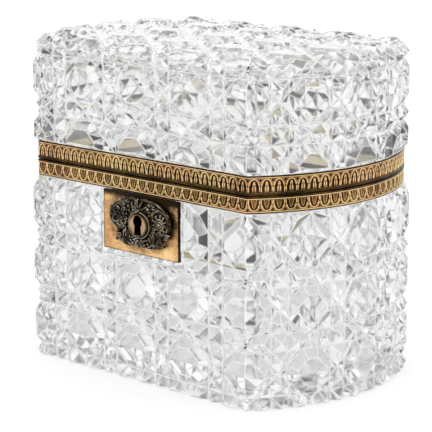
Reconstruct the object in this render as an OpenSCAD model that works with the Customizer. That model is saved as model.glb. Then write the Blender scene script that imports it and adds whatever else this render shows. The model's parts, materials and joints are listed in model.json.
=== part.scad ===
// Cut glass casket with a gilt brass rim, a front lock and a rear hinge.
// Origin: centre of the underside. +Z is up, the lock faces -Y. Millimetres.

/* [Plan] */
// Radius of the two bowed ends, at the outer face of the rim bands
plan_r = 69.6; // [66:0.2:74]
// Half of the depth between the flat front and back, at the rim bands
half_depth = 44; // [42:0.5:46]
// Height of the whole casket
height = 124.5; // [124:0.5:130]
// Height of the seam between body and lid
seam_z = 76.7; // [75:0.1:79]

/* [Glass] */
// How far the body glass stands out past the rim bands
body_bulge = 2.1; // [1.6:0.1:2.4]
// How far the lid glass stands out past the rim bands
lid_bulge = 1.3; // [0.8:0.1:1.6]
// Depth of the glass neck behind the outer face of a band
neck_in = 1.9; // [1.8:0.1:2.2]
// Depth of the smooth inner wall behind the outer face of a band
wall_in = 8.2; // [8:0.1:10]
// Thickness of the floor
floor_t = 10; // [8:0.5:12]
// Thickness of the glass over the lid's hollow
roof_t = 12.3; // [10:0.1:13]
// Width and height of the bevel round the lid's top
shoulder = 4.4; // [4:0.1:5]

/* [Cut pattern] */
// Height of one row of buttons
row_pitch = 23; // [22:0.5:24]
// Distance between the two lines of a pair
pair_gap = 6.6; // [6.4:0.1:7]
// Half of the width of one cut
cut_half = 3.1; // [2.6:0.1:3.1]
// Depth of one cut
cut_deep = 2.1; // [1.6:0.1:2.3]
// Columns of buttons along each side
columns = 4; // [4:1:4]
// Sideways shift of the cuts on the flat sides and the top
cut_shift = -1.6; // [-2:0.1:0]

/* [Rim bands] */
// Height of the body's band
body_band_h = 6.15; // [6:0.05:6.3]
// Height of the lid's band
lid_band_h = 6.85; // [6.6:0.05:7]
// Thickness of the bands
band_t = 1.2; // [1:0.1:1.2]
// Thickness of the flat rim frames
frame_t = 1.2; // [1:0.1:1.4]
// Air between the closed rims
seam_gap = 0.3; // [0.2:0.1:0.4]

/* [Lock] */
// Sideways place of the keyhole
lock_x = 3; // [2.4:0.1:3.2]
// Height of the middle of the escutcheon
lock_z = 59.4; // [59:0.1:60]
// Left edge of the lock plate
plate_x0 = -16.9; // [-17.3:0.1:-16.6]
// Right edge of the lock plate
plate_x1 = 21.7; // [21.5:0.1:22.2]
// Lower edge of the lock plate
plate_z0 = 48.1; // [47.8:0.1:48.6]
// Travel of the bolt
bolt_travel = 4; // [3.5:0.1:4]

/* [Hinge] */
// Outer radius of the hinge knuckles
knuckle_r = 1.7; // [1.6:0.1:1.8]
// Radius of the hinge pin
pin_r = 0.9; // [0.8:0.05:0.9]
// Radial clearance of the pin in the lid's knuckles
pin_play = 0.04; // [0.02:0.01:0.08]
// Half of the length of the row of knuckles
hinge_half = 36; // [34:0.5:38]

/* [Hidden] */
$fn = 64;

glass_colour = [0.86, 0.93, 0.95];
brass_colour = [0.67, 0.51, 0.31];
dark_brass_colour = [0.30, 0.23, 0.14];
steel_colour = [0.45, 0.44, 0.42];
plaster_colour = [0.80, 0.77, 0.70];

big = 200;
eps = 0.01;

// Plan
corner_x = sqrt(pow(plan_r, 2) - pow(half_depth, 2));
end_angle = asin(half_depth / plan_r);
col_pitch = 2 * corner_x / columns;
col_angle = 2 * end_angle / columns;
gap_angle = pair_gap / 2 / (plan_r + body_bulge) * 180 / PI;
lid_row_pitch = 2 * half_depth / columns;

// Heights
rim_low = seam_z - seam_gap / 2;
rim_high = seam_z + seam_gap / 2;
body_glass_top = rim_low - frame_t;
lid_glass_bottom = rim_high + frame_t;
body_band_z = rim_low - body_band_h;
lid_band_top = rim_high + lid_band_h;
hollow_top = height - roof_t;
body_gap_0 = 0.9;
body_gap_rows = [for (i = [0:2]) body_gap_0 + i * row_pitch];
body_cut_levels = [body_gap_rows[0] + pair_gap / 2, body_gap_rows[1] - pair_gap / 2,
    body_gap_rows[1] + pair_gap / 2, body_gap_rows[2] - pair_gap / 2,
    body_gap_rows[2] + pair_gap / 2];
body_slope_h = 3.2;
lid_gap_low = seam_z + 20.5;
lid_cut_levels = [lid_gap_low - pair_gap / 2, lid_gap_low + pair_gap / 2,
    lid_gap_low + row_pitch - pair_gap / 2];
shoulder_z = max(height - shoulder, lid_gap_low + row_pitch - pair_gap / 2 + cut_half + 0.1);
band_shy = 0.2;
neck_clear = 0.1;
foot_bevel = 0.6;

// Sideways places of the cuts
flat_cut_x = [for (i = [0:columns - 1], s = [-1, 1])
    cut_shift + (i + 0.5 - columns / 2) * col_pitch + s * pair_gap / 2];
end_cut_angle = [for (i = [0:columns - 1], s = [-1, 1])
    (i + 0.5 - columns / 2) * col_angle + s * gap_angle];
top_cut_y = [for (i = [0:columns - 1], s = [-1, 1])
    (i + 0.5 - columns / 2) * lid_row_pitch + s * pair_gap / 2];

// Rim frames
lip_gap = 0.1;
lip_t = 0.6;
lip_h = 2;
lip_in = wall_in + lip_gap + lip_t;
fillet_h = 0.75;
field_in = 0.3;

// Lock
plate_t = 1.2;
plate_front = -(half_depth + 0.9);
plate_back = plate_front + plate_t;
plate_z1 = body_band_z - band_shy;
recess_play = 2.2;
case_x0 = plate_x0 + 3.3;
case_x1 = plate_x1 - 3.4;
case_z0 = plate_z0 + 2.6;
case_back = -(half_depth - 7.5);
case_wall = 0.9;
neck_front = -(half_depth - band_t - 0.2);
cover_t = 0.8;
notch_play = 0.6;
pillar_r = 1.5;
screw_r = 0.7;
screw_head_r = 1.15;
screw_head_t = 0.5;
screw_deep = 3;
pillar_at = [[case_x0 + 2.3, case_z0 + 2.3], [case_x1 - 2.3, case_z0 + 2.3],
    [case_x0 + 2.3, plate_z1 - 2.6], [case_x1 - 1.9, plate_z1 - 2.6]];

// Staple and bolt
staple_x = lock_x + 8;
staple_y = -(half_depth - 5);
staple_t = 1.6;
staple_w = 3.8;
staple_drop = 8.6;
staple_foot = [12, 4.2, 1.1];
staple_screw_x = 4.3;
slot_play = 0.7;
eye_w = 2.4;
eye_h = 3.2;
eye_z = seam_z - 6.1;
bolt_t = 1.6;
bolt_nose_h = 2.4;
bolt_body_h = 5.2;
bolt_x0 = lock_x - 10.4;
bolt_nose_x = staple_x - staple_t / 2 - 1;
bolt_shoulder_x = bolt_nose_x - 4.4;
stud_r = 1;
stud_play = 0.06;
stud_x = lock_x - 5;
stud_z = eye_z - 1.1;
talon_w = 3;
talon_h = 1.6;
key_head_r = 2.3;
key_head_z = 1.4;
key_slot = [1.4, 1.85, -3.6];
key_post_z = lock_z + key_head_z;
key_post_r = 0.8;
spring_t = 0.3;
spring_r = 9.3;
spring_half = 6;

// Escutcheon
collar_r = 4.2;
collar_half = 0.45;
collar_proud = 2.2;
cast_t = 1.3;
cast_proud = 3.4;
scroll_ring_r = 2.7;
scroll_bead_r = 1.1;
wheel_at = [10.4, 1.8];
upper_scroll_at = [5.2, 6.8];
lower_scroll_at = [6.9, -5.2];
escutcheon_pin_at = [[-14.3, 5.1], [14.3, 5.1], [-11.5, -6.5], [11.5, -6.5]];
tab_r = 1.7;
escutcheon_pin_r = 0.45;
escutcheon_pin_head = 0.8;

// Hinge
leaf_t = 0.7;
leaf_face_y = half_depth + leaf_t;
axis_y = leaf_face_y + 0.2 + knuckle_r;
axis_z = seam_z;
leaf_margin = 3.5;
leaf_half = hinge_half + leaf_margin;
knuckle_gap = 0.3;
knuckle_cuts = [hinge_half, hinge_half - 14, 7];
stop_h = 1.6;
rivet_r = 0.7;
rivet_head_r = 1.1;
rivet_head_t = 0.5;
rivet_x = [-30, -14.5, 14.5, 30];

// Plan outline, grown or shrunk by off from the outer face of the bands
module plan(off) {
    intersection() {
        circle(r = plan_r + off, $fn = 240);
        square([big, 2 * (half_depth + off)], center = true);
    }
}

module slab(off, z0, z1) {
    translate([0, 0, z0]) linear_extrude(height = z1 - z0) plan(off);
}

module ring(off_out, off_in, z0, z1) {
    difference() {
        slab(off_out, z0, z1);
        slab(off_in, z0 - 1, z1 + 1);
    }
}

// Solid whose outer face follows a list of [offset, height] points
module profiled(points) {
    last = len(points) - 1;
    z0 = points[0][1];
    z1 = points[last][1];
    intersection() {
        rotate_extrude($fn = 240)
            polygon(concat([[0, z0]], [for (p = points) [plan_r + p[0], p[1]]], [[0, z1]]));
        rotate([90, 0, 90])
            linear_extrude(height = big, center = true)
                polygon(concat([for (p = points) [half_depth + p[0], p[1]]],
                    [for (i = [last:-1:0]) [-half_depth - points[i][0], points[i][1]]]));
    }
}

// Three points of one horizontal cut in a profile
function notch(off, z) = [[off, z - cut_half], [off - cut_deep, z], [off, z + cut_half]];

// Section of one cut: its point lies cut_deep inside the line y = 0
module cut_section() {
    over = 1;
    w = cut_half * (cut_deep + over) / cut_deep;
    polygon([[-w, -over], [w, -over], [0, cut_deep]]);
}

module upright_cut(z0, z1) {
    translate([0, 0, z0]) linear_extrude(height = z1 - z0) cut_section();
}

// Upright cuts round the whole plan
module upright_cuts(bulge, z0, z1) {
    for (x = flat_cut_x, side = [0, 1])
        translate([x, (2 * side - 1) * (half_depth + bulge), 0])
            rotate([0, 0, 180 * side]) upright_cut(z0, z1);
    for (a = end_cut_angle, turn = [90, 270])
        rotate([0, 0, turn + a]) translate([0, -plan_r - bulge, 0]) upright_cut(z0, z1);
}

// Extrusion of a front view drawn in X and Z, between two depths
module front_view(y0, y1) {
    translate([0, y1, 0]) rotate([90, 0, 0]) linear_extrude(height = y1 - y0) children();
}

module front_box(x0, x1, y0, y1, z0, z1) {
    translate([x0, y0, z0]) cube([x1 - x0, y1 - y0, z1 - z0]);
}

module pin_y(x, z, r, y0, y1) {
    translate([x, y1, z]) rotate([90, 0, 0]) cylinder(r = r, h = y1 - y0);
}

module pin_x(y, z, r, x0, x1) {
    translate([x0, y, z]) rotate([0, 90, 0]) cylinder(r = r, h = x1 - x0);
}

// Low domed head on the face y = 0, pointing to -Y
module dome(r, t) {
    ball = (r * r + t * t) / (2 * t);
    intersection() {
        translate([0, ball - t, 0]) sphere(r = ball);
        rotate([90, 0, 0]) cylinder(r = r, h = t);
    }
}

module keyhole_shape() {
    translate([lock_x, lock_z]) {
        translate([0, key_head_z]) circle(r = key_head_r);
        polygon([[-key_slot[0], key_head_z], [key_slot[0], key_head_z],
            [key_slot[1], key_slot[2]], [-key_slot[1], key_slot[2]]]);
    }
}

module collar_shape(grow) {
    translate([lock_x, lock_z]) {
        for (s = [-1, 1]) translate([s * collar_half, 0]) circle(r = collar_r + grow);
        square([2 * collar_half, 2 * (collar_r + grow)], center = true);
    }
}

module crystal_body() {
    color(glass_colour, 0.5)
    difference() {
        profiled(concat([[body_bulge - foot_bevel, 0], [body_bulge, foot_bevel]],
            [for (z = body_cut_levels) each notch(body_bulge, z)],
            [[body_bulge, body_band_z - body_slope_h], [-band_shy, body_band_z - neck_clear],
                [-neck_in, body_band_z - neck_clear], [-neck_in, body_glass_top]]));
        slab(-wall_in, floor_t, body_glass_top + 1);
        upright_cuts(body_bulge, -1, body_band_z - neck_clear);
        front_box(case_x0 - notch_play, case_x1 + notch_play, -big, -half_depth + wall_in + 1,
            case_z0 - notch_play, big);
        front_box(plate_x0 - recess_play, plate_x1 + recess_play, -big, plate_back,
            plate_z0 - recess_play, body_band_z);
    }
}

module body_cement() {
    color(plaster_colour)
    difference() {
        ring(-band_t, -neck_in, body_band_z + band_shy, body_glass_top);
        front_box(case_x0 - notch_play, case_x1 + notch_play, -big, 0, 0, big);
    }
}

module staple_slot(play, z0, z1) {
    front_box(staple_x - staple_foot[0] / 2 - play, staple_x + staple_foot[0] / 2 + play,
        staple_y - staple_foot[1] / 2 - play, staple_y + staple_foot[1] / 2 + play, z0, z1);
}

module body_rim_frame() {
    color(brass_colour)
    difference() {
        union() {
            ring(-band_t, -lip_in, body_glass_top, rim_low);
            ring(-wall_in - lip_gap, -lip_in, body_glass_top - lip_h, body_glass_top);
        }
        staple_slot(slot_play, 0, big);
    }
}

module body_band() {
    z0 = body_band_z;
    color(brass_colour)
    difference() {
        profiled([[0, z0], [0, z0 + fillet_h], [-field_in, z0 + fillet_h],
            [-field_in, rim_low - fillet_h], [0, rim_low - fillet_h], [0, rim_low]]);
        slab(-band_t, z0 - 1, rim_low + 1);
        for (x = rivet_x) pin_y(x, body_rivet_z(), rivet_r, 0, big);
    }
}

module lock_plate() {
    color(brass_colour)
    difference() {
        front_box(plate_x0, plate_x1, plate_front, plate_back, plate_z0, plate_z1);
        front_view(-big, 0) keyhole_shape();
        for (p = escutcheon_pin_at)
            pin_y(lock_x + p[0], lock_z + p[1], escutcheon_pin_r, -big, 0);
    }
}

// Outline of the scrolled casting round the keyhole
module cast_outline() {
    translate([lock_x, lock_z]) {
        translate([0, 0.4]) square([20, 11], center = true);
        for (s = [-1, 1]) {
            translate([s * wheel_at[0], wheel_at[1]]) circle(r = 5.1);
            translate([s * upper_scroll_at[0], upper_scroll_at[1]]) circle(r = 3.3);
            translate([s * lower_scroll_at[0], lower_scroll_at[1]]) circle(r = 3.9);
        }
        for (p = escutcheon_pin_at) translate(p) circle(r = tab_r);
        translate([0, 7]) circle(r = 2.9);
        translate([0, -7.2]) circle(r = 2.5);
    }
}

// Puts a scroll on the casting's face at a place from the keyhole's middle, on side s
module on_casting(s, at) {
    translate([lock_x + s * at[0], plate_front - cast_t, lock_z + at[1]]) rotate([90, 0, 0]) children();
}

module escutcheon() {
    color(dark_brass_colour)
    difference() {
        union() {
            front_view(plate_front - cast_t, plate_front) cast_outline();
            for (s = [-1, 1]) {
                on_casting(s, wheel_at) scroll(scroll_ring_r, scroll_bead_r);
                on_casting(s, upper_scroll_at) scroll(scroll_ring_r * 0.7, scroll_bead_r * 0.8);
                on_casting(s, lower_scroll_at) scroll(scroll_ring_r * 0.8, scroll_bead_r * 0.8);
            }
            for (z = [7, -7.2]) translate([lock_x, plate_front - cast_t, lock_z + z]) sphere(r = 1.6);
        }
        front_view(-big, 0) collar_shape(0);
        front_box(-big, big, plate_front, 0, 0, big);
        for (p = escutcheon_pin_at)
            pin_y(lock_x + p[0], lock_z + p[1], escutcheon_pin_r, -big, 0);
    }
}

// Raised ring with a ball in it, on the face z = 0
module scroll(r, bead) {
    rotate_extrude() translate([r, 0]) circle(r = bead);
    sphere(r = cast_proud - cast_t - 0.35 * (scroll_ring_r - r));
}

module keyhole_collar() {
    color(brass_colour)
    difference() {
        front_view(plate_front - collar_proud, plate_front) collar_shape(0);
        front_view(-big, 0) keyhole_shape();
    }
}

module escutcheon_pins() {
    color(brass_colour)
    for (p = escutcheon_pin_at) {
        pin_y(lock_x + p[0], lock_z + p[1], escutcheon_pin_r, plate_front - cast_t, plate_back);
        translate([lock_x + p[0], plate_front - cast_t, lock_z + p[1]])
            dome(escutcheon_pin_head, escutcheon_pin_head / 2);
    }
}

module lock_case() {
    color(steel_colour)
    difference() {
        union() {
            front_box(case_x0, case_x1, plate_back, case_back, case_z0, plate_z1);
            front_box(case_x0, case_x1, neck_front, case_back, plate_z1 - eps, body_glass_top);
        }
        difference() {
            union() {
                front_box(case_x0 + case_wall, case_x1 - case_wall, plate_back - 1, case_back + 1,
                    case_z0 + case_wall, plate_z1 - case_wall);
                front_box(case_x0 + case_wall, case_x1 - case_wall, neck_front + case_wall,
                    case_back + 1, plate_z1 - case_wall - eps, body_glass_top - case_wall);
            }
            for (p = pillar_at) pin_y(p[0], p[1], pillar_r, plate_back, case_back);
        }
        for (p = pillar_at) pin_y(p[0], p[1], screw_r, case_back - screw_deep, case_back + 1);
        staple_slot(slot_play, body_glass_top - case_wall - 1, big);
    }
}

module lock_case_cover() {
    color(brass_colour)
    difference() {
        front_box(case_x0, case_x1, case_back, case_back + cover_t, case_z0, body_glass_top);
        for (p = pillar_at) pin_y(p[0], p[1], screw_r, -big, 0);
        pin_y(lock_x, key_post_z, key_post_r, -big, 0);
        pin_y(stud_x, stud_z, stud_r, -big, 0);
    }
}

module lock_case_screws() {
    color(steel_colour)
    for (p = pillar_at) {
        pin_y(p[0], p[1], screw_r, case_back - screw_deep + 0.4, case_back + cover_t);
        pin_y(p[0], p[1], screw_head_r, case_back + cover_t, case_back + cover_t + screw_head_t);
    }
}

module key_post() {
    color(steel_colour)
    pin_y(lock_x, key_post_z, key_post_r, plate_back + 0.6, case_back + cover_t);
}

module bolt_guide_stud() {
    color(steel_colour)
    pin_y(stud_x, stud_z, stud_r, staple_y - bolt_t / 2 - 0.4, case_back + cover_t);
}

module lock_bolt() {
    color(brass_colour)
    translate([0, staple_y, 0]) {
        difference() {
            front_view(-bolt_t / 2, bolt_t / 2) difference() {
                union() {
                    translate([bolt_x0, eye_z - bolt_body_h + bolt_nose_h / 2])
                        square([bolt_shoulder_x - bolt_x0, bolt_body_h]);
                    translate([bolt_x0, eye_z - bolt_nose_h / 2])
                        square([bolt_nose_x - bolt_x0, bolt_nose_h]);
                }
                guide_slot();
                translate([lock_x - talon_w / 2 - bolt_travel / 2, 0])
                    square([talon_w, eye_z - bolt_body_h + bolt_nose_h / 2 + talon_h]);
            }
        }
    }
}

// Slot that rides on the stud: the bolt moves to +X
module guide_slot() {
    r = stud_r + stud_play;
    translate([stud_x, stud_z]) circle(r = r);
    translate([stud_x - bolt_travel, stud_z]) circle(r = r);
    translate([stud_x - bolt_travel, stud_z - r]) square([bolt_travel, 2 * r]);
}

// Bowed strip on the bolt's upper edge; its ends press on the case
module bolt_spring() {
    foot_z = eye_z + bolt_nose_h / 2;
    mid_x = bolt_x0 + spring_half;
    color(steel_colour)
    front_view(staple_y - bolt_t / 2, staple_y + bolt_t / 2)
    intersection() {
        translate([mid_x, foot_z + spring_r]) difference() {
            circle(r = spring_r, $fn = 120);
            circle(r = spring_r - spring_t, $fn = 120);
        }
        translate([mid_x - spring_half, foot_z - 1]) square([2 * spring_half, 4]);
    }
}

function body_rivet_z() = body_band_z + 2.2;
function lid_rivet_z() = lid_band_top - 2.4;

module knuckle(x0, x1, bore) {
    difference() {
        pin_x(axis_y, axis_z, knuckle_r, x0, x1);
        pin_x(axis_y, axis_z, bore, x0 - 1, x1 + 1);
    }
}

// Block that ties a knuckle to its leaf, on the side of dz
module knuckle_web(x0, x1, side, bore) {
    z0 = side < 0 ? axis_z - knuckle_r : axis_z + 0.5;
    difference() {
        front_box(x0, x1, half_depth + leaf_t / 2, axis_y, z0, z0 + knuckle_r - 0.5);
        pin_x(axis_y, axis_z, bore + 0.3, x0 - 1, x1 + 1);
    }
}

module hinge_body_leaf() {
    spans = [[-knuckle_cuts[0], -knuckle_cuts[1] - knuckle_gap],
        [-knuckle_cuts[2] + knuckle_gap, knuckle_cuts[2] - knuckle_gap],
        [knuckle_cuts[1] + knuckle_gap, knuckle_cuts[0]]];
    color(brass_colour)
    difference() {
        union() {
            front_box(-leaf_half, leaf_half, half_depth, leaf_face_y, body_band_z + 0.3, rim_low);
            for (s = spans) {
                knuckle(s[0], s[1], pin_r);
                knuckle_web(s[0], s[1], -1, pin_r);
            }
            for (s = [-1, 1]) stop_lug(s);
        }
        for (x = rivet_x) pin_y(x, body_rivet_z(), rivet_r, 0, big);
    }
}

// Upstand beyond the knuckles that the lid's leaf comes down on
module stop_lug(side) {
    x0 = hinge_half + 0.5;
    x1 = leaf_half;
    lug_t = 1;
    mirror([side < 0 ? 1 : 0, 0, 0]) {
        front_box(x0, x1, half_depth + leaf_t / 2, axis_y + knuckle_r, axis_z - knuckle_r,
            axis_z - 0.6);
        front_box(x0, x1, axis_y + knuckle_r - lug_t, axis_y + knuckle_r, axis_z - knuckle_r,
            axis_z + stop_h);
    }
}

module hinge_lid_leaf() {
    spans = [[-knuckle_cuts[1], -knuckle_cuts[2]], [knuckle_cuts[2], knuckle_cuts[1]]];
    color(brass_colour)
    difference() {
        union() {
            front_box(-leaf_half, leaf_half, half_depth, leaf_face_y, rim_high, lid_band_top - 0.3);
            for (s = spans) {
                knuckle(s[0], s[1], pin_r + pin_play);
                knuckle_web(s[0], s[1], 1, pin_r);
            }
        }
        for (x = rivet_x) pin_y(x, lid_rivet_z(), rivet_r, 0, big);
    }
}

module rivets(z) {
    for (x = rivet_x) {
        pin_y(x, z, rivet_r, half_depth - band_t, leaf_face_y);
        translate([x, leaf_face_y, z]) rotate([0, 0, 180]) dome(rivet_head_r, rivet_head_t);
    }
}

module hinge_body_rivets() {
    color(brass_colour) rivets(body_rivet_z());
}

module hinge_lid_rivets() {
    color(brass_colour) rivets(lid_rivet_z());
}

module hinge_pin() {
    color(steel_colour) pin_x(axis_y, axis_z, pin_r, -hinge_half, hinge_half);
}

// The lid's glass, cut all over, before it is parted at the hollow's ceiling
module lid_glass() {
    top_off = lid_bulge - shoulder;
    difference() {
        profiled(concat([[-neck_in, lid_glass_bottom], [-neck_in, lid_band_top + neck_clear],
            [-band_shy, lid_band_top + neck_clear], [lid_bulge, lid_band_top + 1.4]],
            [for (z = lid_cut_levels) each notch(lid_bulge, z)],
            [[lid_bulge, shoulder_z], [top_off, height]]));
        upright_cuts(lid_bulge, lid_band_top + neck_clear, height + 1);
        for (x = flat_cut_x) translate([x, 0, height]) top_cut(0);
        for (y = top_cut_y) translate([0, y, height]) top_cut(90);
    }
}

module crystal_lid() {
    color(glass_colour, 0.5)
    difference() {
        lid_glass();
        slab(-wall_in, lid_glass_bottom - 1, hollow_top);
        translate([0, 0, hollow_top]) linear_extrude(height = big) square(big, center = true);
    }
}

module crystal_lid_top() {
    color(glass_colour, 0.5)
    intersection() {
        lid_glass();
        translate([0, 0, hollow_top]) linear_extrude(height = big) square(big, center = true);
    }
}

// Cut across the lid's top, along Y before it is turned
module top_cut(turn) {
    rotate([0, 0, turn]) rotate([-90, 0, 0])
        linear_extrude(height = big, center = true) cut_section();
}

module lid_cement() {
    color(plaster_colour) ring(-band_t, -neck_in, lid_glass_bottom, lid_band_top - band_shy);
}

module lid_rim_frame() {
    color(brass_colour)
    difference() {
        union() {
            ring(-band_t, -lip_in, rim_high, lid_glass_bottom);
            ring(-wall_in - lip_gap, -lip_in, lid_glass_bottom, lid_glass_bottom + lip_h);
        }
        for (s = [-1, 1]) translate([staple_x + s * staple_screw_x, staple_y, 0])
            cylinder(r = screw_r, h = big);
    }
}

module lid_band() {
    z1 = lid_band_top;
    color(brass_colour)
    difference() {
        profiled([[0, rim_high], [0, rim_high + fillet_h], [-field_in, rim_high + fillet_h],
            [-field_in, z1 - fillet_h], [0, z1 - fillet_h], [0, z1]]);
        slab(-band_t, rim_high - 1, z1 + 1);
        for (x = rivet_x) pin_y(x, lid_rivet_z(), rivet_r, 0, big);
    }
}

module lid_staple() {
    color(brass_colour)
    difference() {
        translate([staple_x, staple_y, rim_high]) {
            translate([-staple_foot[0] / 2, -staple_foot[1] / 2, -staple_foot[2]]) cube(staple_foot);
            translate([-staple_t / 2, -staple_w / 2, -staple_drop])
                cube([staple_t, staple_w, staple_drop]);
        }
        translate([staple_x - big / 2, staple_y - eye_w / 2, eye_z - eye_h / 2])
            cube([big, eye_w, eye_h]);
        for (s = [-1, 1]) translate([staple_x + s * staple_screw_x, staple_y, 0])
            cylinder(r = screw_r, h = big);
    }
}

module staple_screws() {
    color(steel_colour)
    for (s = [-1, 1]) translate([staple_x + s * staple_screw_x, staple_y, 0]) {
        translate([0, 0, rim_high - staple_foot[2]])
            cylinder(r = screw_r, h = staple_foot[2] + frame_t);
        translate([0, 0, rim_high - staple_foot[2] - screw_head_t])
            cylinder(r = screw_head_r, h = screw_head_t);
    }
}

crystal_body();
body_cement();
body_rim_frame();
body_band();
lock_plate();
escutcheon();
keyhole_collar();
escutcheon_pins();
lock_case();
lock_case_cover();
lock_case_screws();
key_post();
bolt_guide_stud();
hinge_body_leaf();
hinge_body_rivets();
hinge_pin();
crystal_lid();
crystal_lid_top();
lid_cement();
lid_rim_frame();
lid_band();
lid_staple();
staple_screws();
hinge_lid_leaf();
hinge_lid_rivets();
lock_bolt();
bolt_spring();
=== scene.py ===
"""Looks of the cut glass casket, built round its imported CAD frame. Metres, +Z up, the lock on -Y."""

import json
import math
import random

import bmesh
import bpy
from mathutils import Matrix, Vector

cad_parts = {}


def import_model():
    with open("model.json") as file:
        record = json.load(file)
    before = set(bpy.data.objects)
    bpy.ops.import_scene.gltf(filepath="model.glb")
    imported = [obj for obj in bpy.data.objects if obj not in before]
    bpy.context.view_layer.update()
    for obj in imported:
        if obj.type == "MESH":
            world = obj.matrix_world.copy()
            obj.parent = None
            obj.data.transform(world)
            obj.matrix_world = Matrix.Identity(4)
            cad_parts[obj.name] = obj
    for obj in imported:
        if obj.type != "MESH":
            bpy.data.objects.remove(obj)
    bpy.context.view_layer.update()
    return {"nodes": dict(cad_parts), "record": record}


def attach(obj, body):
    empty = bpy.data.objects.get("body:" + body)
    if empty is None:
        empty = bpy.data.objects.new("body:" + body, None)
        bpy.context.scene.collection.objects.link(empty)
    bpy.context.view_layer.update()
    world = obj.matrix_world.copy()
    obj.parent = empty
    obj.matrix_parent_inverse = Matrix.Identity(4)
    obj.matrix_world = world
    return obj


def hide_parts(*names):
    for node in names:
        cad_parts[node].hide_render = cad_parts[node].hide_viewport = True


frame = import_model()
NODES = frame["nodes"]
MM = 0.001

# Sizes of the part's source, in millimetres
PLAN_R = 69.6
HALF_DEPTH = 44.0
HEIGHT = 124.5
SEAM_Z = 76.7
BODY_BULGE = 2.1
LID_BULGE = 1.3
NECK_IN = 1.9
NECK_CLEAR = 0.1
WALL_IN = 8.2
FLOOR_T = 10.0
ROOF_T = 12.3
SHOULDER = 4.4
BODY_SLOPE_H = 3.2
LID_SLOPE_H = 1.4
FOOT_BEVEL = 0.6
ROW_PITCH = 23.0
PAIR_GAP = 6.6
CUT_HALF = 3.1
CUT_DEEP = 2.1
COLUMNS = 4
CUT_SHIFT = -1.6
BODY_GAP_0 = 0.9
LID_GAP_0 = 20.5
BODY_BAND_H = 6.15
LID_BAND_H = 6.85
BAND_T = 1.2
BAND_SHY = 0.2
FRAME_T = 1.2
SEAM_GAP = 0.3
LOCK_X = 3.0
LOCK_Z = 59.4
PLATE_X0, PLATE_X1 = -16.9, 21.7
PLATE_Z0 = 48.1
PLATE_PROUD = 0.9
PLATE_T = 1.2
RECESS_PLAY = 2.2
CASE_IN_LEFT, CASE_IN_RIGHT = 3.3, 3.4
CASE_UP = 2.6
CASE_DEEP = 7.5
NOTCH_PLAY = 0.6

CORNER_X = math.sqrt(PLAN_R**2 - HALF_DEPTH**2)
END_ANGLE = math.asin(HALF_DEPTH / PLAN_R)
COL_PITCH = 2 * CORNER_X / COLUMNS
COL_ANGLE = 2 * END_ANGLE / COLUMNS
TOP_PITCH = 2 * HALF_DEPTH / COLUMNS
RIM_LOW = SEAM_Z - SEAM_GAP / 2
RIM_HIGH = SEAM_Z + SEAM_GAP / 2
BODY_BAND_Z = RIM_LOW - BODY_BAND_H
LID_BAND_TOP = RIM_HIGH + LID_BAND_H
LID_GAP_LOW = SEAM_Z + LID_GAP_0
HOLLOW_TOP = HEIGHT - ROOF_T
PLATE_FRONT = -(HALF_DEPTH + PLATE_PROUD)
PLATE_BACK = PLATE_FRONT + PLATE_T
CASE_X0, CASE_X1 = PLATE_X0 + CASE_IN_LEFT, PLATE_X1 - CASE_IN_RIGHT
CASE_Z0 = PLATE_Z0 + CASE_UP
CASE_BACK = -(HALF_DEPTH - CASE_DEEP)


# ---------------------------------------------------------------- helpers
def link(name, mesh, body=None, replaced=()):
    """Object of a mesh; a piece also names its body and the nodes that it replaces."""
    obj = bpy.data.objects.new(name, mesh)
    bpy.context.scene.collection.objects.link(obj)
    if body:
        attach(obj, body)
    if replaced:
        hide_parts(*replaced)
    return obj


def mesh_of(name, verts, faces):
    """Mesh of vertices in millimetres."""
    mesh = bpy.data.meshes.new(name)
    mesh.from_pydata([tuple(c * MM for c in v) for v in verts], [], faces)
    mesh.update()
    return mesh


def solid(name, verts, faces):
    """Closed mesh whose faces all look outwards."""
    mesh = mesh_of(name, verts, faces)
    bm = bmesh.new()
    bm.from_mesh(mesh)
    bmesh.ops.recalc_face_normals(bm, faces=bm.faces)
    bm.to_mesh(mesh)
    bm.free()
    return mesh


def block(name, low, high):
    """Box between two corners."""
    corners = [(x, y, z) for z in (low[2], high[2]) for y in (low[1], high[1]) for x in (low[0], high[0])]
    faces = [(0, 2, 3, 1), (4, 5, 7, 6), (0, 1, 5, 4), (2, 6, 7, 3), (0, 4, 6, 2), (1, 3, 7, 5)]
    return solid(name, corners, faces)


def smooth(mesh, angle):
    """Smooth faces, with the edges sharper than angle degrees kept hard."""
    mesh.shade_smooth()
    mesh.set_sharp_from_angle(angle=math.radians(angle))


def copy_of(name, node):
    """A CAD node's mesh, without its materials."""
    mesh = NODES[node].data.copy()
    mesh.name = name
    mesh.materials.clear()
    return mesh


def apply_modifiers(obj):
    """Puts the mesh that the modifiers give in the place of the object's own."""
    done = bpy.data.meshes.new_from_object(obj.evaluated_get(bpy.context.evaluated_depsgraph_get()))
    old = obj.data
    obj.modifiers.clear()
    obj.data = done
    done.name = obj.name
    bpy.data.meshes.remove(old)


def cut_away(obj, cutters):
    """Takes closed meshes out of an object."""
    helpers = [link("cutter", mesh) for mesh in cutters]
    for helper in helpers:
        mod = obj.modifiers.new("cut", "BOOLEAN")
        mod.operation = "DIFFERENCE"
        mod.solver = "MANIFOLD"
        mod.object = helper
    apply_modifiers(obj)
    for helper in helpers:
        bpy.data.objects.remove(helper)


# ---------------------------------------------------------------- glass
ARC_STEPS = 56
# How far a cutter stands out of the glass; the cutters of a pair, short of touching each other
CUT_OVER = 0.5
PAIR_OVER = 0.12
# How far cutters reach past the glass
PAST = 1
FAR_X, FAR_Y = 90, 80
FAR_FRONT, FAR_UP = -60, 90
# How much longer a slanting cut is at each end, and the least of one that is cut, in shares of it
SLANT_STRETCH = 0.03
SLANT_LEAST = 0.02
LID_GLASS = [n for n in ("crystal_lid", "crystal_lid_top") if n in NODES]


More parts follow.
